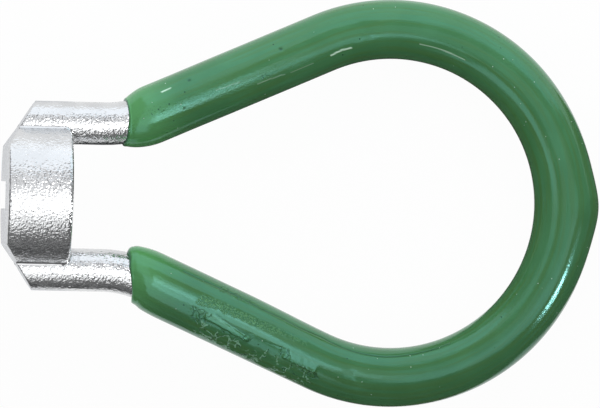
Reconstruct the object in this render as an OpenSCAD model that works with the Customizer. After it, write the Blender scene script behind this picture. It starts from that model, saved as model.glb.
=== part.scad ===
// Spoke wrench: a slotted steel barrel brazed between the two ends of a bent rod loop,
// with the loop dipped in vinyl. The nipple's axis runs along X through the origin,
// the loop lies in the XY plane towards +X, and the slot opens towards -Z.

/* [Jaw head] */
// Width across the flats of the spoke nipple that the slot turns
nipple_flats = 3.3; // [3.2:0.01:4]
// Play between the nipple's flats and the slot
nipple_play = 0.1; // [0.04:0.01:0.2]
// Diameter of the barrel
barrel_d = 17.8; // [16:0.1:20]
// Length of the barrel along the nipple
barrel_len = 8.2; // [7:0.1:10]
// Rounding of the barrel's edge on the loop side
barrel_back_round = 0.5; // [0.2:0.05:0.8]
// Rounding of the barrel's two corners that stand beside the rod on the loop side
corner_round = 1.1; // [0.5:0.1:1.5]
// Rounding of the barrel's edge on the rim side
barrel_front_round = 0.3; // [0.1:0.05:0.5]
// Width of the end that stays square between the two bevels
end_flat_w = 12.2; // [10:0.1:13]
// Angle of the bevels to the square end
bevel_angle = 32; // [20:1:40]
// Rounding in the two corners of the slot's floor
slot_floor_round = 0.4; // [0.1:0.05:0.8]
// Lead-in along the two lips of the slot's mouth
slot_lead = 0.35; // [0.1:0.05:0.6]

/* [Rod loop] */
// Diameter of the steel rod
rod_d = 5.4; // [5:0.1:6]
// Depth that the barrel's sides are cut to take the rod
saddle_depth = 2.4; // [2:0.1:2.6]
// Distance from the nipple to the corner of the neck bend
neck_reach = 11.3; // [10:0.1:14]
// Radius of the neck bend on the rod's centre line
neck_r = 14; // [8:0.5:22]
// Distance from the nipple to the centre of the bow
bow_reach = 44.45; // [40:0.05:50]
// Radius of the bow on the rod's centre line
bow_r = 21.85; // [19:0.05:24]

/* [Braze] */
// Reach of the filler metal in the corner between the rod and the barrel
braze_r = 0.45; // [0.3:0.05:0.9]

/* [Vinyl grip] */
// Wall of the vinyl coat
grip_wall = 1.05; // [0.7:0.05:1.4]
// Bare rod between the barrel and the coat's edge
bare_len = 7.2; // [6:0.1:9]
// Rounding of the coat's edge
lip_round = 0.7; // [0.3:0.05:0.7]
// Extra vinyl that ran down to the far end of the bow
drip = 0.7; // [0.3:0.05:1]
// Half angle of the bow over which the extra vinyl fades out
drip_fade = 16; // [12:1:30]

/* [Hidden] */
$fn = 96;
// Steps of the arcs round the thin filler
fine_fn = 360;

// How far a cut runs past the surface that it opens
overrun = 1;
// How much slimmer the rod is drawn where it is bent
bend_draw = 0.01;
// How far a bent length reaches into the straight one that it meets
bend_lap = 0.1;

steel_grey = [0.78, 0.79, 0.80];
braze_grey = [0.70, 0.70, 0.67];
vinyl_green = [0.16, 0.47, 0.27];

barrel_r = barrel_d / 2;
front_x = -barrel_len / 2;
back_x = barrel_len / 2;
slot_w = nipple_flats + nipple_play;
slot_floor_z = slot_w / 2;
rod_r = rod_d / 2;
shank_y = barrel_r - saddle_depth + rod_r;
// Where the barrel's round side meets the rod's, seen along X
seam_y = (pow(shank_y, 2) + pow(barrel_r, 2) - pow(rod_r, 2)) / (2 * shank_y);
// Size of a block that covers the whole head
head_span = barrel_d + 2 * rod_d;

// The leg leaves the neck's corner so that it meets the bow at a tangent
neck_to_bow = norm([bow_reach - neck_reach, shank_y]);
leg_angle = asin(bow_r / neck_to_bow) - atan2(shank_y, bow_reach - neck_reach);
neck_tangent = neck_r * tan(leg_angle / 2);
neck_start = neck_reach - neck_tangent;
neck_len = neck_r * leg_angle * PI / 180;
neck_end = [neck_start + neck_r * sin(leg_angle), shank_y + neck_r * (1 - cos(leg_angle))];
bow_start = [bow_reach - bow_r * sin(leg_angle), bow_r * cos(leg_angle)];
leg_len = norm(bow_start - neck_end);
bow_half_angle = 90 + leg_angle;

grip_r = rod_r + grip_wall;
grip_start = back_x + bare_len;

// The filler meets the barrel and the rod where a fillet would, seen along X
fillet_y = (pow(shank_y, 2) + pow(barrel_r + braze_r, 2) - pow(rod_r + braze_r, 2)) / (2 * shank_y);
fillet_z = sqrt(pow(barrel_r + braze_r, 2) - pow(fillet_y, 2));
fillet_centre = [fillet_y, fillet_z];
rod_centre = [shank_y, 0];
barrel_touch = fillet_centre * barrel_r / (barrel_r + braze_r);
rod_touch = rod_centre + (fillet_centre - rod_centre) * rod_r / (rod_r + braze_r);
// Between those two lines its face is hollow, to a flatter arc than the fillet
hollow_r = 2 * braze_r;
face_mid = (barrel_touch + rod_touch) / 2;
face_half = norm(rod_touch - barrel_touch) / 2;
face_out = (fillet_centre - face_mid) / norm(fillet_centre - face_mid);
hollow_centre = face_mid + face_out * sqrt(pow(hollow_r, 2) - pow(face_half, 2));

// The run of extra vinyl is a thinner ring of a tighter radius, sunk in the coat where it fades
drip_sink = grip_wall / 2;
drip_r = grip_r - drip_sink;
drip_tip = bow_r + drip + drip_sink;
drip_edge = bow_r + drip_sink;
drip_shift = (pow(drip_tip, 2) - pow(drip_edge, 2)) / (2 * (drip_tip - drip_edge * cos(drip_fade)));
drip_bow_r = drip_tip - drip_shift;
// The ring ends where its centre line has come back to the bow's
drip_cos = (pow(bow_r, 2) - pow(drip_bow_r, 2) - pow(drip_shift, 2)) / (2 * drip_bow_r * drip_shift);
drip_half_angle = acos(drip_cos);

// Angle and place of the rod's centre line at a distance along it from the nipple
function neck_turn(along) =
    min(leg_angle, max(0, (along - neck_start) / neck_len * leg_angle));
function leg_run(along) = max(0, along - neck_start - neck_len);
function rod_point(along) =
    [min(along, neck_start), shank_y]
    + neck_r * [sin(neck_turn(along)), 1 - cos(neck_turn(along))]
    + leg_run(along) * [cos(leg_angle), sin(leg_angle)];

module both_sides() {
    for (side = [0, 1])
        mirror([0, side, 0])
            children();
}

// A round bar from one point of the XY plane in one direction
module bar(from, angle, length, radius) {
    translate([from[0], from[1], 0])
        rotate([0, 90, angle])
            cylinder(h = length, r = radius);
}

// A round bar bent about the origin, from one angle over another, reaching past both
module bent_bar(bend_r, from, angle, radius) {
    lap_angle = bend_lap / bend_r * 180 / PI;
    rotate([0, 0, from - lap_angle])
        rotate_extrude(angle = angle + 2 * lap_angle)
            translate([bend_r, 0])
                circle(radius - bend_draw);
}

// The whole loop at one radius, both its legs starting at a distance along the rod
module loop(radius, start) {
    both_sides() {
        if (start < neck_start)
            bar([start, shank_y], 0, neck_start - start, radius);
        if (neck_turn(start) < leg_angle)
            translate([neck_start, shank_y + neck_r, 0])
                bent_bar(neck_r, neck_turn(start) - 90, leg_angle - neck_turn(start), radius);
        bar(rod_point(max(start, neck_start + neck_len)), leg_angle, leg_len - leg_run(start), radius);
    }
    translate([bow_reach, 0, 0])
        bent_bar(bow_r, -bow_half_angle, 2 * bow_half_angle, radius);
}

// The two planes that the barrel, the rod ends and the filler are ground to together
module bevel_cuts() {
    both_sides()
        translate([front_x, end_flat_w / 2, 0])
            rotate([0, 0, -bevel_angle])
                translate([-head_span, 0, -head_span / 2])
                    cube(head_span);
}

// What the rounding of the barrel's two corners beside the rod takes off
module corner_cuts() {
    both_sides()
        translate([back_x - corner_round, seam_y - corner_round, -head_span / 2])
            linear_extrude(head_span)
                difference() {
                    square(corner_round + overrun);
                    circle(corner_round);
                }
}

// Half outline of the barrel, with its length upwards
module barrel_outline() {
    straight_len = barrel_len - barrel_front_round - barrel_back_round;
    square([barrel_r - barrel_back_round, barrel_len]);
    square([barrel_r - barrel_front_round, barrel_len - barrel_back_round]);
    translate([0, barrel_front_round])
        square([barrel_r, straight_len]);
    translate([barrel_r - barrel_front_round, barrel_front_round])
        circle(barrel_front_round);
    translate([barrel_r - barrel_back_round, barrel_len - barrel_back_round])
        circle(barrel_back_round);
}

// Outline of the slot seen along X, with its floor at the top
module slot_outline() {
    mouth_z = -sqrt(pow(barrel_r, 2) - pow(slot_w / 2, 2));
    lead_w = slot_lead + overrun;
    translate([-slot_w / 2, -barrel_d])
        square([slot_w, barrel_d + slot_floor_z - slot_floor_round]);
    translate([slot_floor_round - slot_w / 2, 0])
        square([slot_w - 2 * slot_floor_round, slot_floor_z]);
    for (side = [-1, 1])
        translate([side * (slot_w / 2 - slot_floor_round), slot_floor_z - slot_floor_round])
            circle(slot_floor_round);
    polygon([
        [-slot_w / 2, mouth_z + slot_lead],
        [slot_w / 2, mouth_z + slot_lead],
        [slot_w / 2 + lead_w, mouth_z - overrun],
        [-slot_w / 2 - lead_w, mouth_z - overrun]
    ]);
}

// Turns an outline drawn in Y and Z into a bar along X
module along_x(from, length) {
    translate([from, 0, 0])
        rotate([90, 0, 90])
            linear_extrude(length)
                children();
}

// The filler metal above the rod, seen along X
module filler_outline() {
    difference() {
        polygon([hollow_centre, barrel_touch, rod_centre, rod_touch]);
        circle(barrel_r, $fn = fine_fn);
        translate(rod_centre)
            circle(rod_r, $fn = fine_fn);
        translate(hollow_centre)
            circle(hollow_r, $fn = fine_fn);
    }
}

// Half outline of the coat's rounded edge, on top of the length that it shares with the coat
module lip_outline() {
    edge_r = grip_r + bend_draw;
    square([edge_r - lip_round, lip_round + 2 * bend_lap]);
    square([edge_r, 2 * bend_lap]);
    translate([edge_r - lip_round, 2 * bend_lap])
        intersection() {
            circle(lip_round);
            square(lip_round);
        }
}

module jaw_head() {
    color(steel_grey)
        difference() {
            translate([front_x, 0, 0])
                rotate([0, 90, 0])
                    rotate_extrude()
                        barrel_outline();
            along_x(front_x - overrun, barrel_len + 2 * overrun)
                slot_outline();
            both_sides()
                bar([front_x - overrun, shank_y], 0, barrel_len + 2 * overrun, rod_r);
            bevel_cuts();
            corner_cuts();
        }
}

module loop_rod() {
    color(steel_grey)
        difference() {
            loop(rod_r, front_x);
            bevel_cuts();
        }
}

// Filler metal of one rod end, a line of it on either face of the wrench
module braze() {
    color(braze_grey)
        difference() {
            along_x(front_x, barrel_len - corner_round)
                for (face = [0, 1])
                    mirror([0, face])
                        filler_outline();
            bevel_cuts();
        }
}

module upper_braze() {
    braze();
}

module lower_braze() {
    mirror([0, 1, 0])
        braze();
}

module vinyl_grip() {
    color(vinyl_green)
        difference() {
            union() {
                loop(grip_r, grip_start);
                both_sides()
                    translate(rod_point(grip_start))
                        rotate([0, -90, neck_turn(grip_start)])
                            translate([0, 0, -2 * bend_lap])
                                rotate_extrude()
                                    lip_outline();
                translate([bow_reach + drip_shift, 0, 0])
                    bent_bar(drip_bow_r, -drip_half_angle, 2 * drip_half_angle, drip_r);
            }
            loop(rod_r, front_x);
        }
}

jaw_head();
loop_rod();
upper_braze();
lower_braze();
vinyl_grip();
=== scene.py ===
import math

import bmesh
import bpy
import numpy as np
from mathutils import Matrix, Vector


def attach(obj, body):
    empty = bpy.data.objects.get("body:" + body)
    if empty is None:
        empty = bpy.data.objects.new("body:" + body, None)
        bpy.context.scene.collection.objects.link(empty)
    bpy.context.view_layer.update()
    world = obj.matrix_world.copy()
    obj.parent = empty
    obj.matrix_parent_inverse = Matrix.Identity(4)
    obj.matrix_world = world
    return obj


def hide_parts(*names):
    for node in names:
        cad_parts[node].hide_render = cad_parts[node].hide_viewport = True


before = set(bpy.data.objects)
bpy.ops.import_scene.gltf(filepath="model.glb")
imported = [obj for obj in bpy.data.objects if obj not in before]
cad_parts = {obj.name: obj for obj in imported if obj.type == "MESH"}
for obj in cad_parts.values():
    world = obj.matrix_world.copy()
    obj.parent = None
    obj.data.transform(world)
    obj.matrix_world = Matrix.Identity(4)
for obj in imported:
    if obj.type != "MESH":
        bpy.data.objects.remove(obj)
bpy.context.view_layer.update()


# Jaw head
# A short round barrel of cast steel, slotted lengthwise for the nipple and saddled for the two rod ends.
# It is shot-blasted, brazed to the rod and plated bright, so its skin keeps a fine pebbled grain.

mm = 0.001
weld_gap = 0.002 * mm
cloud_size = 2.2 * mm
# The grey of the painted shade along the braze's borders
border_shade_grey = (0.14, 0.14, 0.15, 1)
steel_bright = (0.7, 0.71, 0.72, 1)
steel_dull = (0.65, 0.66, 0.67, 1)
steel_grain = 0.37 * mm
steel_depth = 0.08 * mm


class Wire:
    """One output of a shader node. Sums on wires add Math nodes, and node() adds any other node."""

    def __init__(self, tree, socket=None):
        self.tree = tree
        self.socket = socket

    def node(self, kind, settings=None, sockets=None, out=0):
        made = self.tree.nodes.new("ShaderNode" + kind)
        for name, value in (settings or {}).items():
            setattr(made, name, value)
        for key, value in (sockets or {}).items():
            if isinstance(value, Wire):
                self.tree.links.new(value.socket, made.inputs[key])
            else:
                made.inputs[key].default_value = value
        return Wire(self.tree, made.outputs[out])

    def math(self, operation, first, second):
        return self.node("Math", {"operation": operation}, {0: first, 1: second})

    def __add__(self, other):
        return self.math("ADD", self, other)

    def __sub__(self, other):
        return self.math("SUBTRACT", self, other)

    def __rsub__(self, other):
        return self.math("SUBTRACT", other, self)

    def __mul__(self, other):
        return self.math("MULTIPLY", self, other)

    __radd__ = __add__
    __rmul__ = __mul__

    def step(self, low, high):
        """0 below low, 1 above high, and a smooth rise between them."""
        return self.node("MapRange", {"interpolation_type": "SMOOTHSTEP"}, {0: self, 1: low, 2: high})

    def noise(self, place, size, detail=2.0, roughness=0.5):
        """Soft noise whose lumps are about one size across."""
        return self.node("TexNoise", {}, {"Vector": place, "Scale": 1 / size, "Detail": detail,
                                          "Roughness": roughness})

    def blend(self, share, first, second):
        """A colour between two, by a share from 0 to 1."""
        return self.node("Mix", {"data_type": "RGBA"}, {0: share, 6: first, 7: second}, out=2)


def new_finish(name):
    """A bare material: its first wire, its shader and the place on the piece in metres."""
    material = bpy.data.materials.new(name)
    material.use_nodes = True
    wire = Wire(material.node_tree)
    shader = material.node_tree.nodes["Principled BSDF"]
    place = wire.node("TexCoord", out="Object")
    return material, wire, shader, place


def feed(wire, shader, inputs):
    """Sets a shader's inputs to values or links."""
    for name, value in inputs.items():
        if isinstance(value, Wire):
            wire.tree.links.new(value.socket, shader.inputs[name])
        else:
            shader.inputs[name].default_value = value


def plated_finish(name, bright, dull, grain_size, grain_depth, shade_border=None):
    """Bright plating over a pebbled steel skin, darkened with painted shade where a mark on the mesh says
    that a border is.
    """
    material, wire, shader, place = new_finish(name)
    pebble = wire.noise(place, grain_size, 1.0)
    fine = wire.noise(place, grain_size / 2, 2.0)
    cloud = wire.noise(place, cloud_size, 2.0)
    height = pebble + fine * 0.3 + cloud * 0.6
    bump = wire.node("Bump", {}, {"Strength": 1.0, "Distance": grain_depth, "Height": height})
    colour = wire.blend(cloud.step(0.35, 0.65), dull, bright)
    if shade_border:
        edge = wire.node("Attribute", {"attribute_name": shade_border}, out="Fac")
        # Painted shade: the plating darkens at the marked borders, where the corner between rod and barrel
        # lies in shade
        colour = wire.blend(edge.step(0.45, 1.0), colour, border_shade_grey)
    feed(wire, shader, {
        "Base Color": colour,
        "Metallic": 1.0,
        "Roughness": fine * 0.1 + 0.05,
        "Normal": bump,
    })
    return material


def pebbled(piece, voxel, rounding, grain_size, grain_depth):
    """Gives a CAD node a fine skin with softened edges and a pebbled grain, drawn inwards only."""
    weld = piece.modifiers.new("weld", "WELD")
    weld.merge_threshold = weld_gap
    remesh = piece.modifiers.new("skin", "REMESH")
    remesh.mode = "VOXEL"
    remesh.voxel_size = voxel
    remesh.use_smooth_shade = True
    soften = piece.modifiers.new("soften", "SMOOTH")
    soften.iterations = rounding
    lumps = bpy.data.textures.new(piece.name + "_grain", "CLOUDS")
    lumps.noise_scale = grain_size
    lumps.noise_depth = 1
    grain = piece.modifiers.new("grain", "DISPLACE")
    grain.texture = lumps
    grain.texture_coords = "LOCAL"
    grain.mid_level = 1.0
    grain.strength = grain_depth


def dress(piece, material):
    """Gives a piece one material in place of any it has."""
    piece.data.materials.clear()
    piece.data.materials.append(material)


plated_steel = plated_finish("plated_steel", steel_bright, steel_dull, steel_grain, steel_depth)
jaw_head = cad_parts["jaw_head"]
pebbled(jaw_head, voxel=0.1 * mm, rounding=14, grain_size=0.4 * mm, grain_depth=0.025 * mm)
dress(jaw_head, plated_steel)


# Loop rod
# One length of round steel rod, bent at two necks and a bow. Its cut ends lie in the barrel's saddles.
# It is plated with the head, and all but its two bare shanks is under the coat.

loop_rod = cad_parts["loop_rod"]
pebbled(loop_rod, voxel=0.12 * mm, rounding=5, grain_size=0.4 * mm, grain_depth=0.02 * mm)
dress(loop_rod, plated_steel)


# Braze lines
# Filler metal that ran into the corner between each rod end and the barrel, and round the barrel's back.
# It set in a smooth hollow line, was ground to the bevel with the rod and plated with it. Its borders are
# darkened with painted shade, as the corner beside them would be.

barrel_r = 8.9
front_x = -4.1
back_x = 4.1
end_flat_w = 12.2
bevel_angle = math.radians(32)
bevel_slope = math.tan(bevel_angle)
corner_r = 1.1
rod_r = 2.7
shank_y = 9.2
seam_y = (shank_y**2 + barrel_r**2 - rod_r**2) / (2 * shank_y)
seam_front = front_x + (seam_y - end_flat_w / 2) * bevel_slope
corner_y = seam_y - corner_r
filler_up = 0.27
filler_out = 0.32
filler_fill = 0.2
filler_sink = 0.05
filler_uneven = 0.16
filler_lump = 9.0
face_points = 9
straight_points = 48
corner_points = 18
back_points = 30
braze_bright = (0.68, 0.69, 0.7, 1)
braze_dull = (0.6, 0.6, 0.61, 1)
braze_grain = 0.5 * mm
braze_depth = 0.008 * mm


def lattice_noise(place, seed):
    """Smooth seeded noise from -1 to 1 at points given in units of its lumps' size."""
    cell = np.floor(place).astype(np.int64)
    part = place - cell
    part = part * part * (3 - 2 * part)
    total = np.zeros(place.shape[:-1])
    for corner in np.ndindex(2, 2, 2):
        key = (cell + corner) @ np.array([73856093, 19349663, 83492791]) + seed * 2654435761
        key = (key ^ (key >> 13)) * 1274126177
        value = ((key ^ (key >> 16)) & 65535) / 32767.5 - 1
        weight = np.prod(np.where(np.array(corner) == 1, part, 1 - part), axis=-1)
        total += value * weight
    return total


def unit(vectors):
    """Vectors of length 1 in the same directions."""
    return vectors / np.linalg.norm(vectors, axis=-1, keepdims=True)


def skin(name, rings, looped):
    """A mesh over rings of points in millimetres, closed along its length or capped at both ends."""
    count = rings.shape[0] * rings.shape[1]
    here = np.arange(count).reshape(rings.shape[:2])
    last = None if looped else -1
    ahead = np.roll(here, -1, 0)[:last]
    here = here[:last]
    corners = [here, np.roll(here, -1, 1), np.roll(ahead, -1, 1), ahead]
    faces = np.stack(corners, -1).reshape(-1, 4).tolist()
    if not looped:
        faces += [here[0].tolist(), ahead[-1].tolist()]
    mesh = bpy.data.meshes.new(name)
    mesh.from_pydata((rings.reshape(-1, 3) * mm).tolist(), [], faces)
    shape = bmesh.new()
    shape.from_mesh(mesh)
    bmesh.ops.recalc_face_normals(shape, faces=shape.faces)
    shape.to_mesh(mesh)
    shape.free()
    mesh.shade_smooth()
    piece = bpy.data.objects.new(name, mesh)
    bpy.context.scene.collection.objects.link(piece)
    return piece


def seam_stations():
    """Points of the corner between the upper rod end and the barrel, and the barrel's normals along it."""
    straight_x = np.linspace(seam_front, back_x - corner_r, straight_points)
    straight_z = math.sqrt(barrel_r**2 - seam_y**2)
    straight = [(x, seam_y, straight_z) for x in straight_x]
    straight_out = [(0, seam_y, straight_z)] * len(straight)
    corner = []
    corner_out = []
    for turn in np.linspace(0, math.pi / 2, corner_points)[1:]:
        y = corner_y + corner_r * math.cos(turn)
        z = math.sqrt(rod_r**2 - (y - shank_y) ** 2)
        corner.append((back_x - corner_r + corner_r * math.sin(turn), y, z))
        corner_out.append((math.sin(turn), math.cos(turn), 0))
    back_turn = math.acos((shank_y - corner_y) / rod_r)
    back = [(back_x, shank_y - rod_r * math.cos(turn), rod_r * math.sin(turn))
            for turn in np.linspace(back_turn, -back_turn, back_points)[1:-1]]
    points = np.array(straight + corner)
    normals = unit(np.array(straight_out + corner_out, float))
    flip = np.array([1, 1, -1])
    points = np.concatenate([points, back, points[::-1] * flip])
    normals = np.concatenate([normals, np.tile([1.0, 0, 0], (len(back), 1)), normals[::-1] * flip])
    return points, normals


def filler_line(name, side, seed):
    """A line of filler along the corner at one rod end, with a mark on its mesh where its borders are, which
    the finish darkens as painted shade.
    """
    points, wall_out = seam_stations()
    rod_out = unit((points - [0, shank_y, 0]) * [0, 1, 1])
    up_wall = unit(rod_out - (rod_out * wall_out).sum(-1, keepdims=True) * wall_out)
    off_wall = unit(wall_out - (rod_out * wall_out).sum(-1, keepdims=True) * rod_out)
    run = np.arange(len(points)) / filler_lump
    swell = 1 + filler_uneven * lattice_noise(np.stack([run, run * 0, run * 0], -1), seed)[:, None]
    top = points + up_wall * filler_up * swell - wall_out * filler_sink
    out = points + off_wall * filler_out * swell - rod_out * filler_sink
    bend = points + (up_wall + off_wall) * filler_fill * filler_up
    root = points - (wall_out + rod_out) * 2 * filler_sink
    shares = np.linspace(0, 1, face_points)[None, :, None]
    face = (1 - shares) ** 2 * top[:, None]
    face = face + 2 * shares * (1 - shares) * bend[:, None] + shares**2 * out[:, None]
    rings = np.concatenate([face, root[:, None]], 1)
    bevel_x = front_x + (rings[..., 1] - end_flat_w / 2) * bevel_slope
    rings[..., 0] = np.maximum(rings[..., 0], bevel_x)
    rings[..., 1] *= side
    filler = skin(name, rings, looped=False)
    # The mark for the painted shade along both borders of the filler
    shade_border = np.tile(np.append(np.abs(shares.ravel() * 2 - 1), 1.0), len(points))
    attribute = filler.data.attributes.new("shade_border", "FLOAT", "POINT")
    attribute.data.foreach_set("value", shade_border)
    return filler


plated_braze = plated_finish("plated_braze", braze_bright, braze_dull, braze_grain, braze_depth, "shade_border")
for name, side, seed in (("upper_braze", 1, 11), ("lower_braze", -1, 12)):
    filler = filler_line(name + "_line", side, seed)
    dress(filler, plated_braze)
    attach(filler, "root")
    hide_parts(name)


# Vinyl grip
# A dipped coat of green vinyl over the bow, the legs and part of each neck.
# It ends in a rounded lip on each neck, and it dripped and set thicker at the far end of the bow.

grip_r = 3.73
neck_reach = 11.3
neck_r = 14.0
bow_reach = 44.45
bow_r = 21.85
grip_start = 11.3
drip = 0.7

span = math.hypot(bow_reach - neck_reach, shank_y)
leg_angle = math.asin(bow_r / span) - math.atan2(shank_y, bow_reach - neck_reach)
neck_start = neck_reach - neck_r * math.tan(leg_angle / 2)
neck_end = neck_start + neck_r * leg_angle
leg_len = math.sqrt(span**2 - bow_r**2) - neck_r * math.tan(leg_angle / 2)
bow_start = neck_end + leg_len
bow_half = math.pi / 2 + leg_angle
loop_len = 2 * (bow_start + bow_r * bow_half)
coat_len = loop_len - 2 * grip_start


def along_loop(s):
    """x, y and heading of the rod's centre line, s millimetres from the middle of the upper shank."""
    near = np.minimum(s, loop_len - s)
    upper = s <= loop_len / 2
    neck_turn = np.clip((near - neck_start) / neck_r, 0, leg_angle)
    leg_run = np.clip(near - neck_end, 0, leg_len)
    bow_turn = np.maximum(near - bow_start, 0) / bow_r
    heading = neck_turn - bow_turn
    x = np.minimum(near, neck_start) + neck_r * np.sin(neck_turn) + leg_run * math.cos(leg_angle)
    y = shank_y + neck_r * (1 - np.cos(neck_turn)) + leg_run * math.sin(leg_angle)
    x = x + bow_r * (math.sin(leg_angle) - np.sin(leg_angle - bow_turn))
    y = y + bow_r * (np.cos(leg_angle - bow_turn) - math.cos(leg_angle))
    return x, np.where(upper, y, -y), np.where(upper, heading, math.pi - heading)


sides = 224
ring_step = 0.105
bore_step = 6
lip_points = 9
lip_len = 0.4
lip_rise = 0.34
lip_run = 3.0
# The lower lip is fuller on the loop's inner and outer side, most on the inner
lip_fill = 0.31
lip_tilt = 0.05
# Where the two edges lie along x, how far they slant, and how far rings follow them
high_edge = 10.72
high_slant = 0.45
low_edge = 11.98
low_slant = 0.33
low_sag = 0.14
edge_wander = 0.07
edge_reach = 5


def smooth(value, low, high):
    """0 below low, 1 above high, and a smooth rise between them."""
    share = np.clip((value - low) / (high - low), 0, 1)
    return share * share * (3 - 2 * share)


def bell(value, width):
    """A smooth bump of height 1 that has sunk to a third one width away."""
    return np.exp(-(value / width) ** 2)


def edge_place(turn, upper):
    """How far along x the coat's edge lies, by the turn round the neck: the dip line was not quite square."""
    high_side = high_edge + high_slant * np.clip(np.sin(turn), 0, 1)
    low_side = low_edge + low_slant * np.cos(turn) - low_sag * np.sin(turn)
    return np.where(upper, high_side, low_side)


body = np.arange(lip_len, coat_len - lip_len, ring_step)[1:]
edge_steps = lip_len * (1 - np.cos(np.linspace(0, math.pi / 2, lip_points)))
outer_s = grip_start + np.concatenate([edge_steps, body, coat_len - edge_steps[::-1]])
round_turn = np.linspace(-math.pi / 2, 1.5 * math.pi, sides, endpoint=False)


def follow_edge(s, turn):
    """Moves rings near the two ends of the coat so that the last ones lie on its edges."""
    upper = s < loop_len / 2
    near = np.minimum(s, loop_len - s)
    wave = np.stack([turn * 2.2, np.where(upper, 0.0, 9.0), np.zeros_like(turn)], -1)
    edge_x = edge_place(turn, upper)
    edge_s = edge_x + np.sin((edge_x - neck_start) / neck_r) * np.cos(turn) * (rod_r + lip_rise)
    shift = edge_s - grip_start + edge_wander * lattice_noise(wave, 5)
    near = near + shift * (1 - smooth(near - grip_start, 0, edge_reach))
    return np.where(upper, near, loop_len - near)


s, turn = np.meshgrid(outer_s, round_turn, indexing="ij")
upper = s < loop_len / 2
from_edge = np.minimum(s, loop_len - s) - grip_start
around = (turn - math.pi / 2) * grip_r
lip_curve = np.sqrt(np.clip(1 - (1 - np.clip(from_edge / lip_len, 0, 1)) ** 2, 0, 1))
ease = np.clip((from_edge - lip_len) / lip_run, 0, 1)
lip_wall = lip_rise + np.where(upper, 0, lip_fill * np.abs(np.cos(turn)) - lip_tilt * np.cos(turn))
wall = lip_wall * lip_curve + (grip_r - rod_r - lip_wall) * (1 - (1 - ease) ** 2)

# Vinyl that ran down to the far end of the bow, thickest on its outer side
x, y, heading = along_loop(s)
azimuth = np.degrees(np.arctan2(y, x - bow_reach))
swell = 0.6 * bell(azimuth, 7.5) + 0.4 * bell(azimuth, 17) * (1 - smooth(np.abs(azimuth), 25, 40))
swell = drip * swell * np.clip(np.cos(turn), 0, 1)

# It also set thicker on the inner side of the lower leg and thinner outside its lip
from_low = coat_len - (s - grip_start)
inner_side = np.clip(-np.cos(turn), 0, 1)
outer_side = np.clip(np.cos(turn), 0, 1)
swell += 0.25 * (1 - smooth(from_low, 14, 26)) * inner_side * smooth(from_low, 0, 0.9)
swell -= 0.15 * (1 - smooth(from_low, 2, 6)) * outer_side * smooth(from_low, 0.3, 1.5)

# The coat is a little uneven, and drawn into faint ridges along its length
lumps = np.stack([x / 6, y / 6, np.sin(turn)], -1)
uneven = -0.012 * (1 + lattice_noise(lumps, 3))
ridges = np.stack([turn * 7, s / 14, np.zeros_like(s)], -1)
uneven -= 0.008 * (1 + lattice_noise(ridges, 7))
relief = uneven * smooth(from_edge, 0, 2)

# Wear, painted shade and painted glints are drawn in millimetres on the coat unrolled: along it from its
# upper edge, and around it from its top towards the inside of the loop
along = s - grip_start
painted_shade = np.zeros_like(s)
pale_and_glint = np.zeros_like(s)
thin = 1 - smooth(from_edge, 0, 8.5)
rng = np.random.default_rng(27)


def flip(distance):
    """Turns a distance from the lower edge into one from the upper edge, or back."""
    return coat_len - distance


def grit(size, seed):
    """Noise on the unrolled coat with lumps of one size."""
    return lattice_noise(np.stack([along / size, around / size, np.zeros_like(along)], -1), seed)


def stroke(path, width):
    """The rows of the coat near a path, and how close their points lie to it: 1 on it, 0 away from it."""
    path = np.array(path, float)
    reach = 3 * width
    ends = [path[:, 0].min() - reach, path[:, 0].max() + reach]
    rows = slice(*np.searchsorted(outer_s - grip_start, ends))
    here = np.stack([along[rows], around[rows]], -1)
    nearest = np.full(here.shape[:2], np.inf)
    for start, end in zip(path[:-1], path[1:]):
        step = end - start
        share = np.clip((here - start) @ step / (step @ step), 0, 1)
        gap = np.linalg.norm(here - start - share[..., None] * step, axis=-1)
        nearest = np.minimum(nearest, gap)
    return rows, bell(nearest, width)


def patch(start, end, outer_edge, inner_edge, ragged):
    """1 on a ragged patch between two distances from the lower edge and two around the coat, 0 off it."""
    shift = ragged * (grit(0.7, 31) + 0.6 * grit(0.3, 32))
    lengthwise = flip(along) + 2 * shift
    across = around + shift
    inside = smooth(lengthwise, start, start + 0.3) * (1 - smooth(lengthwise, end - 0.3, end))
    inside = inside * smooth(across, outer_edge, outer_edge + 0.12)
    return inside * (1 - smooth(across, inner_edge - 0.2, inner_edge))


# Two laps of vinyl on the lower leg, flat on top and with a torn edge, and crumbled skin beside them
slant = 0.07 * (flip(along) - 11)
lift = grip_r * (1 / np.cos(np.clip(-around / grip_r, 0, 0.6)) - 1)
laps = patch(11, 17.4, -1.3 - slant, -0.2 - 2 * slant, 0.08)
laps = np.maximum(laps, patch(22, 26.8, -1.2 - slant / 2, -0.3, 0.08))
relief += 0.65 * lift * laps + 0.008 * laps * (grit(0.45, 46) + 0.6 * grit(0.22, 47))
crumbs = patch(9.3, 11.6, -2.1, -0.2, 0.2) + patch(16.2, 17.8, -1.7, -0.9, 0.15)
crumbs = crumbs + patch(21.3, 23.2, -1.6, -0.2, 0.2) + patch(24, 27.2, -2.4, -1.3, 0.25)
relief += 0.025 * crumbs * (grit(0.28, 33) + 0.5 * grit(0.16, 34))
rubbed = patch(9.5, 24.5, 0.2 + 0.8 * slant, 1.5 + 0.3 * slant, 0.2)
rubbed = rubbed * (1 - 0.6 * smooth(flip(along), 16, 25))
relief += 0.015 * rubbed * (grit(0.42, 35) + 0.6 * grit(0.24, 36))
ruffled = patch(11, 16, 2.9, 3.8, 0.25)
relief += 0.02 * ruffled * (grit(0.5, 37) + 0.6 * grit(0.26, 38))
cracked = np.clip(crumbs + 0.8 * ruffled, 0, 1)
torn = patch(10.3, 26.5, -4.6, -1.6, 0.4)
relief += 0.02 * torn * (grit(0.8, 41) + 0.5 * grit(0.4, 42))
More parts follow.
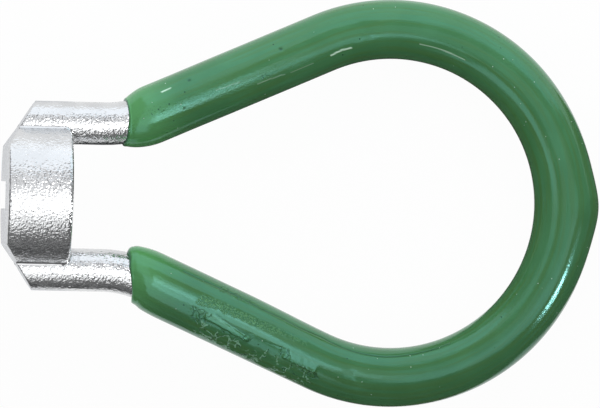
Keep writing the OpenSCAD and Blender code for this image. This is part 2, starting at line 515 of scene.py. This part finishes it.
pitted = bell(along - 4.6, 2.4) * bell(around + 0.3, 0.45)
pitted += 0.8 * bell(along - 17.6, 1.6) * bell(around - 1, 0.35)
brushed = smooth(along, 0.5, 4) * (1 - smooth(along, 22, 30)) * bell(around + 0.5 - 0.085 * along, 1.1)
# A dark line at both edges of the coat is painted shadow at the foot of each lip
painted_shade += 0.8 * (1 - smooth(from_edge, 0.05, 0.25))

# A crease along the inner side of the lower leg and bow, and thin cracks beside the laps, both darkened with
# painted shade: each with its path from the lower edge, its width, its depth and how dark its painted shade
# is
for path, width, depth, dark in (
        ([(6.4, 3.27), (11.8, 3.34), (15, 3.34), (17.1, 3.14), (19.9, 3.27), (22.7, 3.14), (25.4, 3.3),
          (30, 3), (35.1, 2.9), (40.2, 3.2), (44.7, 3.27)], 0.11, 0.035, 0.7),
        ([(12.2, -0.2), (14.1, -0.52), (15.9, -0.79), (17.5, -0.5)], 0.08, 0.02, 0.4),
        ([(14.5, -1.0), (17, -0.85), (19, -0.72), (22, -0.39)], 0.07, 0.015, 0.35),
        ([(11.2, -1.6), (13.4, -1.45), (15.4, -1.5), (17.6, -1.6)], 0.07, 0.015, 0.25)):
    rows, near = stroke([(flip(distance), sideways) for distance, sideways in path], width)
    relief[rows] -= depth * near
    painted_shade[rows] = np.maximum(painted_shade[rows], dark * near)

# Fine scratches and draw lines along the coat, on all its sides
scratches = 150
for _ in range(scratches):
    start = np.array([rng.uniform(2, coat_len - 2), rng.uniform(-math.pi, math.pi) * grip_r])
    length = rng.uniform(1, 7)
    end = start + [length, rng.normal(0, 0.03) * length]
    rows, near = stroke([start, end], rng.uniform(0.07, 0.1))
    way = rng.choice([-1, 1], p=[0.7, 0.3])
    relief[rows] += way * rng.uniform(0.002, 0.007) * near

# Three pits, darkened with painted shade, each with its width
for spot, size in (((8.8, -2.4), 0.17), ((20.9, -1.45), 0.19), ((6.9, 0.8), 0.1)):
    rows, near = stroke([spot, (spot[0] + 0.05, spot[1])], size)
    relief[rows] -= 0.09 * near
    painted_shade[rows] = np.maximum(painted_shade[rows], near)

# Three shallow dents on the bow, each with its width and depth
for spot, size, depth in (
        ((31.6, 0.1), 1.3, 0.07),
        ((flip(31.4), -0.4), 1.2, 0.07),
        ((flip(43.9), -2.7), 0.9, 0.03)):
    rows, near = stroke([spot, (spot[0] + 0.1, spot[1])], size)
    relief[rows] -= depth * near * (1 + 0.5 * grit(0.9, 39)[rows])

# Two pale nicks that are painted glints, and four pale hair scratches, each with its width and how pale it is
for path, width, strength in (
        ([(5.1, -2.36), (6.3, -2.4)], 0.1, 1.0),
        ([(26.5, 1.85), (28.1, 1.66), (29.4, 1.76)], 0.12, 1.0),
        ([(38.8, 1.64), (41.6, 1.7), (45.3, 1.78)], 0.07, 0.6),
        ([(11.4, 0.2), (13, 0.33), (14.6, 0.39)], 0.06, 0.3),
        ([(16.6, 1.57), (18.2, 1.6), (20.2, 1.75)], 0.06, 0.35),
        ([(21, 1.9), (22.3, 1.85), (24, 1.88)], 0.06, 0.25)):
    rows, near = stroke(path, width)
    relief[rows] += 0.02 * near
    pale_and_glint[rows] = np.maximum(pale_and_glint[rows], strength * smooth(near, 0.2, 0.7))

ring_s = follow_edge(s, turn)
radius = rod_r + wall + swell + relief
x, y, heading = along_loop(ring_s)
outer = np.stack([
    x - np.sin(heading) * np.cos(turn) * radius,
    y + np.cos(heading) * np.cos(turn) * radius,
    np.sin(turn) * radius,
], -1)
bore_s, bore_turn = np.meshgrid(outer_s[::-bore_step], round_turn, indexing="ij")
x, y, heading = along_loop(follow_edge(bore_s, bore_turn))
inner = np.stack([
    x - np.sin(heading) * np.cos(bore_turn) * rod_r,
    y + np.cos(heading) * np.cos(bore_turn) * rod_r,
    np.sin(bore_turn) * rod_r,
], -1)
rings = np.concatenate([outer, inner])

# Colours of the coat, of what wear does to it, and of the painted shade and painted glints on it
vinyl_deep = (0.061, 0.204, 0.068, 1)
vinyl_light = (0.069, 0.226, 0.08, 1)
vinyl_olive = (0.075, 0.19, 0.045, 1)
vinyl_thin = (0.113, 0.36, 0.115, 1)
rub_deep = (0.046, 0.16, 0.045, 1)
rub_light = (0.125, 0.31, 0.1, 1)
painted_shade_colour = (0.012, 0.045, 0.02, 1)
tear_colour = (0.3, 0.6, 0.38, 1)
# The pale colour of the painted glints, the hair scratches and the specks
nick_and_glint_colour = (0.68, 0.92, 0.72, 1)
shine_tint = (0.4, 1.0, 1.0, 1)
crack_size = 0.75 * mm
mark_depth = 0.01 * mm
green_vinyl, wire, shader, place = new_finish("green_vinyl")


def mark_on_coat(name, out="Fac"):
    """How strong a mark that the mesh carries is at each point."""
    return wire.node("Attribute", {"attribute_name": name}, out=out)


def line_at_half(noise, width):
    """1 on the lines where a noise passes through its middle value, 0 away from them."""
    return 1 - wire.math("ABSOLUTE", noise - 0.5, 0).step(width / 2, width)


def spots(size, radius, away):
    """1 on small round spots strewn through the coat, 0 between them."""
    moved = wire.node("VectorMath", {"operation": "ADD"}, {0: place, 1: (away, away, away)})
    return 1 - wire.node("TexVoronoi", {}, {"Vector": moved, "Scale": 1 / size}).step(radius / 2, radius)


def most(first, *others):
    """The greatest of several wires."""
    for other in others:
        first = wire.math("MAXIMUM", first, other)
    return first


cloud = wire.noise(place, 4 * mm)
fine = wire.noise(place, 0.35 * mm, 3.0)
streak = wire.noise(mark_on_coat("drawn", "Vector"), 0.55 * mm, 3.0)
rub = mark_on_coat("rubbed")
speckle = wire.noise(place, 0.2 * mm, 2.0).step(0.42, 0.62)
network = wire.node("TexVoronoi", {"feature": "DISTANCE_TO_EDGE"}, {"Vector": place, "Scale": 1 / crack_size})
crack = mark_on_coat("cracked") * (1 - network.step(0.03, 0.1))
wander = wire.noise(place, 1.3 * mm, 2.0)
tear = mark_on_coat("torn") * line_at_half(wander, 0.04) * wire.noise(place, 1.1 * mm).step(0.45, 0.55)
split = mark_on_coat("torn") * line_at_half(wander + 0.05, 0.03) * wire.noise(place, 0.9 * mm).step(0.5, 0.6)
speck = spots(1.7 * mm, 0.05, 0.0)
pit = most(spots(2.2 * mm, 0.05, 0.05), mark_on_coat("pitted") * fine.step(0.58, 0.66))
green = wire.blend(cloud.step(0.3, 0.7), vinyl_deep, vinyl_light)
green = wire.blend(streak.step(0.45, 0.6) * 0.6, green, vinyl_olive)
green = wire.blend(mark_on_coat("thin"), green, vinyl_thin)
green = wire.blend(rub * 0.9, green, wire.blend(speckle, rub_deep, rub_light))
# Painted shade: the marked lip lines, crease, cracks and pits, the crack network, the pits strewn through the
# coat and the splits all darken towards one dark colour
dark = most(mark_on_coat("painted_shade") * 0.8, crack * 0.45, pit, split * 0.5)
green = wire.blend(dark, green, painted_shade_colour)
green = wire.blend(tear * 0.8, green, tear_colour)
# Pale marks: the two painted glints, the hair scratches and the specks
green = wire.blend(most(mark_on_coat("pale_and_glint"), speck * 0.9), green, nick_and_glint_colour)
height = fine + streak * 2 + rub * speckle * 3 + mark_on_coat("brushed") * speckle * 0.9
height = height + (speck + tear) * 4 - (pit + crack + split) * 4
bump = wire.node("Bump", {}, {"Strength": 1.0, "Distance": mark_depth, "Height": height})
feed(wire, shader, {
    "Base Color": green,
    "Roughness": cloud * 0.1 + rub * 0.12 + 0.1,
    "IOR": 1.5,
    "Specular IOR Level": 0.8,
    "Specular Tint": shine_tint,
    "Normal": bump,
})
vinyl_grip = skin("dipped_grip", rings, looped=True)
bore = np.zeros(inner.shape[0] * sides)
for mark, values in (("pale_and_glint", pale_and_glint), ("painted_shade", painted_shade), ("rubbed", rubbed), ("cracked", cracked), ("torn", torn),
                     ("pitted", pitted), ("brushed", brushed), ("thin", thin)):
    attribute = vinyl_grip.data.attributes.new(mark, "FLOAT", "POINT")
    attribute.data.foreach_set("value", np.concatenate([np.clip(values, 0, 1).ravel(), bore]))

# Streaks follow the coat, so their noise is read from a place that hardly moves along it
streak_draw = 0.06
drawn_out = np.stack([streak_draw * along, grip_r * np.cos(turn), grip_r * np.sin(turn)], -1) * mm
attribute = vinyl_grip.data.attributes.new("drawn", "FLOAT_VECTOR", "POINT")
attribute.data.foreach_set("vector", np.concatenate([drawn_out.ravel(), np.repeat(bore, 3)]))
dress(vinyl_grip, green_vinyl)
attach(vinyl_grip, "root")
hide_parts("vinyl_grip")


# Bench, light and camera
# The tool lies on a pale bench, on the rim of its barrel and the far end of its bow.
# Softboxes hang over it and a soft wall of light stands beyond the picture's top edge.
# Cards and flags that the camera doesn't see keep the white bench out of some reflections. The dark cards are
# painted shadow: they darken the bench beside the tool in what the tool reflects.

head_points = np.array([vertex.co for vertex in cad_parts["jaw_head"].data.vertices])
grip_points = np.array([vertex.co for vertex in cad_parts["vinyl_grip"].data.vertices])
least_lean = 0.0
most_lean = math.radians(15)
halvings = 40
bench_gap = 0.03 * mm

# The lean at which the barrel and the bow both touch the bench
for _ in range(halvings):
    lean = (least_lean + most_lean) / 2
    up = np.array([-math.sin(lean), 0, math.cos(lean)])
    if (head_points @ up).min() < (grip_points @ up).min():
        least_lean = lean
    else:
        most_lean = lean
bench_height = (head_points @ up).min() - bench_gap
bench = Matrix.Rotation(-lean, 4, "Y") @ Matrix.Translation((0, 0, bench_height))

floor_half = 2.0
floor_mesh = bpy.data.meshes.new("bench")
floor_corners = [(-1, -1), (1, -1), (1, 1), (-1, 1)]
floor_mesh.from_pydata([(x * floor_half, y * floor_half, 0) for x, y in floor_corners], [], [(0, 1, 2, 3)])
floor = bpy.data.objects.new("bench", floor_mesh)
floor.matrix_world = bench
bpy.context.scene.collection.objects.link(floor)

# The bench is lit as a white one, and looks almost pure white to the camera and in what the tool reflects
white_share = 0.97
pale_bench, wire, shader, place = new_finish("pale_bench")
feed(wire, shader, {"Base Color": (0.9, 0.9, 0.9, 1), "Roughness": 0.9, "Specular IOR Level": 0.0})
seen = wire.node("LightPath", out="Is Camera Ray")
glossy = wire.node("LightPath", out="Is Glossy Ray")
through = wire.node("LightPath", out="Is Transmission Ray")
lit = wire.math("MINIMUM", seen + glossy + through, 1.0) * white_share
white = wire.node("Emission", {}, {"Color": (1, 1, 1, 1), "Strength": 1.0})
mixed = wire.node("MixShader", {}, {0: lit, 1: Wire(wire.tree, shader.outputs[0]), 2: white})
wire.tree.links.new(mixed.socket, wire.tree.nodes["Material Output"].inputs["Surface"])
dress(floor, pale_bench)


def softbox(name, width, depth, place, aim, radiance,
            tint=(1, 1, 1), gloss=True, diffuse=True, spread=180):
    """A rectangular lamp over the bench, at a place and facing a point, both in bench millimetres."""
    lamp = bpy.data.lights.new(name, "AREA")
    lamp.shape = "RECTANGLE"
    lamp.size = width * mm
    lamp.size_y = depth * mm
    lamp.energy = radiance * 4 * width * depth * mm * mm
    lamp.color = tint
    lamp.spread = math.radians(spread)
    box = bpy.data.objects.new(name, lamp)
    direction = (Vector(place) - Vector(aim)).normalized()
    turn = direction.to_track_quat("Z", "Y").to_matrix().to_4x4()
    box.matrix_world = bench @ Matrix.Translation(Vector(place) * mm) @ turn
    box.visible_camera = False
    box.visible_glossy = gloss
    box.visible_diffuse = diffuse
    bpy.context.scene.collection.objects.link(box)


def ceiling_box(name, low_x, high_x, low_y, high_y, height, radiance):
    """A softbox level with the bench, which shows only in what the tool reflects."""
    centre = ((low_x + high_x) / 2, (low_y + high_y) / 2)
    softbox(name, high_x - low_x, high_y - low_y, (*centre, height), (*centre, 0), radiance, diffuse=False)


# Each with its bounds in x and in y, its height over the bench and its brightness
for name, *values in (
        ("bow_strip", 70, 215, -105, -20, 200, 0.85),
        ("bow_end", 115, 205, -20, 20, 200, 0.6),
        ("head_strip", -25, 26, -125, 0, 100, 1.0),
        ("head_fade", -25, 40, -150, -125, 100, 0.4),
        ("head_edge", -25, 40, -200, -150, 100, 0.15),
        ("head_panel", -30, 22, 0, 90, 100, 0.5),
        ("head_step", -30, 22, 0, 35, 100, 0.35),
        ("bow_veil", 45, 220, -20, 70, 200, 0.35)):
    ceiling_box(name, *values)

# Two that aim at the head, so that the legs beside it show them and the bow doesn't
softbox("leg_box", 35, 36, (37.5, -23, 100), (-5, 0, 8), 0.45, diffuse=False, spread=64)
softbox("leg_fade", 35, 18, (37.5, 4, 100), (-5, 0, 8), 0.36, diffuse=False, spread=64)

# The wall beyond the top edge, cooler beside the bow, then two that only light and one that only glints
softbox("head_wall", 110, 115, (5, 105, 66), (5, 0, 66), 0.8, (0.9, 0.95, 1.0))
softbox("bow_wall", 175, 115, (147.5, 105, 66), (147.5, 0, 66), 0.8, (0.8, 0.97, 1.06))
softbox("key", 200, 60, (35, 58, 56), (35, 20, 0), 0.6, gloss=False)
softbox("fill", 300, 160, (45, -70, 160), (45, -20, 0), 0.48, gloss=False)
softbox("glint", 38, 18, (220, -79, 106), (66, -10, 4), 34, diffuse=False)


def add_card(name, mesh, material):
    """Adds a card that only shows in what the tool reflects."""
    card = bpy.data.objects.new(name, mesh)
    card.matrix_world = bench
    card.visible_camera = False
    card.visible_shadow = False
    card.visible_diffuse = False
    bpy.context.scene.collection.objects.link(card)
    dress(card, material)


def flat_card(name, outline, material):
    """A card that lies on the bench, with its outline in bench millimetres."""
    mesh = bpy.data.meshes.new(name)
    mesh.from_pydata([(x * mm, y * mm, card_lift) for x, y in outline], [], [range(len(outline))])
    add_card(name, mesh, material)


def plain_finish(name, inputs):
    """A material that is the same all over."""
    material, wire, shader, _ = new_finish(name)
    feed(wire, shader, inputs)
    return material


card_lift = 0.2 * mm
shadow_grey = (0.16, 0.16, 0.16, 1)
black = (0, 0, 0, 1)
end_grey = (0.76, 0.77, 0.79, 1)
shadow_felt = plain_finish("shadow_felt", {
    "Base Color": shadow_grey,
    "Roughness": 0.9,
    "Specular IOR Level": 0.0,
})
grey_glow = plain_finish("end_grey", {
    "Base Color": black,
    "Emission Color": end_grey,
    "Emission Strength": 1.0,
})
# Dark cards as painted shadow, where the bench beside the tool lies in shade
flat_card("front_card", [(-200, -400), (300, -400), (300, -27), (-200, -27)], shadow_felt)
inner_outline = [(16, 0), (40, 0), (44.5, -13), (48.2, -13.8), (52.3, -13.5), (56.5, -12), (60.4, -9.2),
                 (63.5, -6.2), (66, 3), (60, 18), (44, 22), (36, 20), (16, 12)]
flat_card("inner_card", inner_outline, shadow_felt)
flat_card("side_card", [(70, -27), (300, -27), (300, 20), (70, 20)], shadow_felt)
flat_card("neck_card", [(4, 0.1), (17, 0.1), (17, 12), (4, 9)], shadow_felt)
end_outline = [(-12, -8), (-4, -20), (4, -20), (4, -12.5), (-3.5, -5.8), (-3.5, 5.8), (4, 12.5), (4, 20),
               (-4, 20), (-12, 8)]
flat_card("end_card", end_outline, grey_glow)


def flag(name, line, shift, material):
    """A card that stands on the bench along a line of places and heights, moved across it."""
    mesh = bpy.data.meshes.new(name)
    foot = [(x * mm, (y + shift) * mm, 0) for x, y, height in line]
    top = [(x * mm, (y + shift) * mm, height * mm) for x, y, height in line]
    count = len(line)
    mesh.from_pydata(foot + top, [], [(i, i + 1, i + 1 + count, i + count) for i in range(count - 1)])
    add_card(name, mesh, material)


# The upper half of the loop sees the dark side, a painted shadow, and the lower half the pale one
flag_line = [(4.3, 0, 6), (40, 0, 6), (44.5, -13, 6), (48.2, -13.8, 5), (52.3, -13.5, 4), (56.5, -12, 2),
             (60.4, -9.2, 0.2)]
flag("dark_flag", flag_line, 0.1, shadow_felt)
flag("pale_flag", flag_line, -0.1, pale_bench)

world = bpy.data.worlds.new("studio")
bpy.context.scene.world = world
world.use_nodes = True
wire = Wire(world.node_tree)
side = wire.node("SeparateXYZ", {}, {0: wire.node("TexCoord", out="Generated")}, out="Y")
near_grey = (0.17, 0.17, 0.17, 1)
far_grey = (0.34, 0.34, 0.35, 1)
room = wire.blend(side.step(-0.5, 0.3), near_grey, far_grey)
world.node_tree.links.new(room.socket, world.node_tree.nodes["Background"].inputs["Color"])

view_width = 75.19
view_distance = 1750.0
view_roll = math.radians(1.27)
view_aim = (32.96, -0.333)
camera_data = bpy.data.cameras.new("camera")
camera_data.sensor_width = 36
camera_data.lens = camera_data.sensor_width * view_distance / view_width
camera = bpy.data.objects.new("camera", camera_data)
camera.matrix_world = (Matrix.Rotation(-lean, 4, "Y")
                       @ Matrix.Translation((view_aim[0] * mm, view_aim[1] * mm, view_distance * mm))
                       @ Matrix.Rotation(view_roll, 4, "Z"))
bpy.context.scene.collection.objects.link(camera)
bpy.context.scene.camera = camera
bpy.context.scene.view_settings.view_transform = "Standard"
